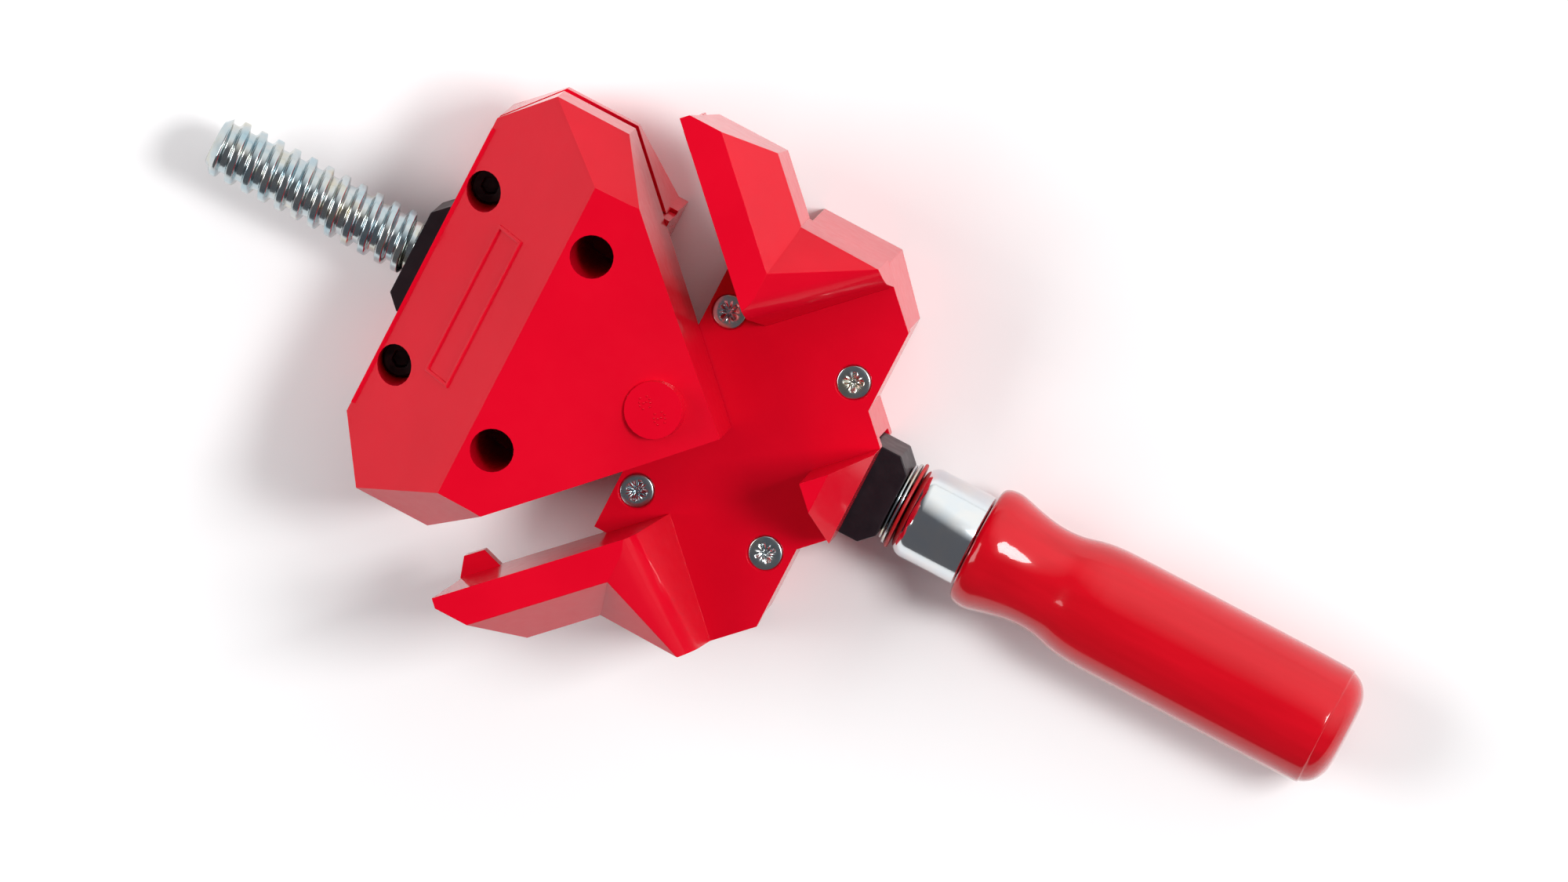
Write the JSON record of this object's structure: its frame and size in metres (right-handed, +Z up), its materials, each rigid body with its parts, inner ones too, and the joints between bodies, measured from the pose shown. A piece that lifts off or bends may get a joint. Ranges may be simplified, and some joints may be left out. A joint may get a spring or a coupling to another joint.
{
  "type": "corner clamp",
  "caption": "Screw-driven corner clamp with a two-armed fixed body, a sliding triangular jaw, a swivelling spindle and a turned handle.",
  "frame": {"origin": "on the base plane, under the point where the clamping planes of the two arms meet", "axes": "+X along the spindle towards the handle, +Y across the spindle towards the left arm seen from the handle's far side, +Z up, out of the plate that the boards lie on"},
  "size_m": [0.2719, 0.1184, 0.065],
  "materials": {
    "red_powder_coat": "glossy red powder coat on die-cast alloy, with fine orange peel",
    "black_cast": "black, satin, lightly scuffed",
    "black_oxide_steel": "black oxide on steel",
    "zinc_steel": "bright zinc plating, faintly blue and yellow",
    "polished_ferrule": "polished plated tube",
    "red_fibre": "red hard fibre",
    "red_lacquered_wood": "thick glossy red lacquer over turned wood"
  },
  "bodies": {
    "fixed_body": {"body_top": "red_powder_coat", "body_base": "red_powder_coat", "plate_screw_1": "zinc_steel", "plate_screw_2": "zinc_steel", "plate_screw_3": "zinc_steel", "plate_screw_4": "zinc_steel", "block_pivot_upper": "zinc_steel", "block_pivot_lower": "zinc_steel"},
    "bearing": {"bearing_block": "black_cast"},
    "spindle": {"spindle": "zinc_steel", "inner_washer": "zinc_steel", "thrust_washer": "zinc_steel", "spindle_collar": "zinc_steel", "friction_ring": "red_fibre", "ferrule": "polished_ferrule", "handle": "red_lacquered_wood"},
    "nut": {"swivel_nut": "black_cast"},
    "jaw": {"jaw_top": "red_powder_coat", "jaw_base": "red_powder_coat", "jaw_screw_1": "black_oxide_steel", "jaw_screw_2": "black_oxide_steel", "nut_pivot_upper": "zinc_steel", "nut_pivot_lower": "zinc_steel"}
  },
  "joints": [
    {"name": "swing", "type": "hinge", "parent": "fixed_body", "child": "bearing", "pos_m": [-0.002, 0, 0.015], "axis": [0, 0, 1], "range_deg": [-3, 3]},
    {"name": "spindle_turn", "type": "hinge", "parent": "bearing", "child": "spindle", "pos_m": [0, 0, 0.015], "axis": [1, 0, 0], "range_deg": [-1300, 3900]},
    {"name": "jaw_travel", "type": "slide", "parent": "bearing", "child": "nut", "axis": [1, 0, 0], "range_m": [-0.042, 0.014]},
    {"name": "jaw_align", "type": "hinge", "parent": "nut", "child": "jaw", "pos_m": [-0.088, 0, 0.015], "axis": [0, 0, 1], "range_deg": [-3.1, 3.1]}
  ],
  "couplings": [
    {"joint": "spindle_turn", "follows": "jaw_travel", "rad_per_m": -1570.8},
    {"joint": "jaw_align", "follows": "swing", "ratio": -1}
  ]
}
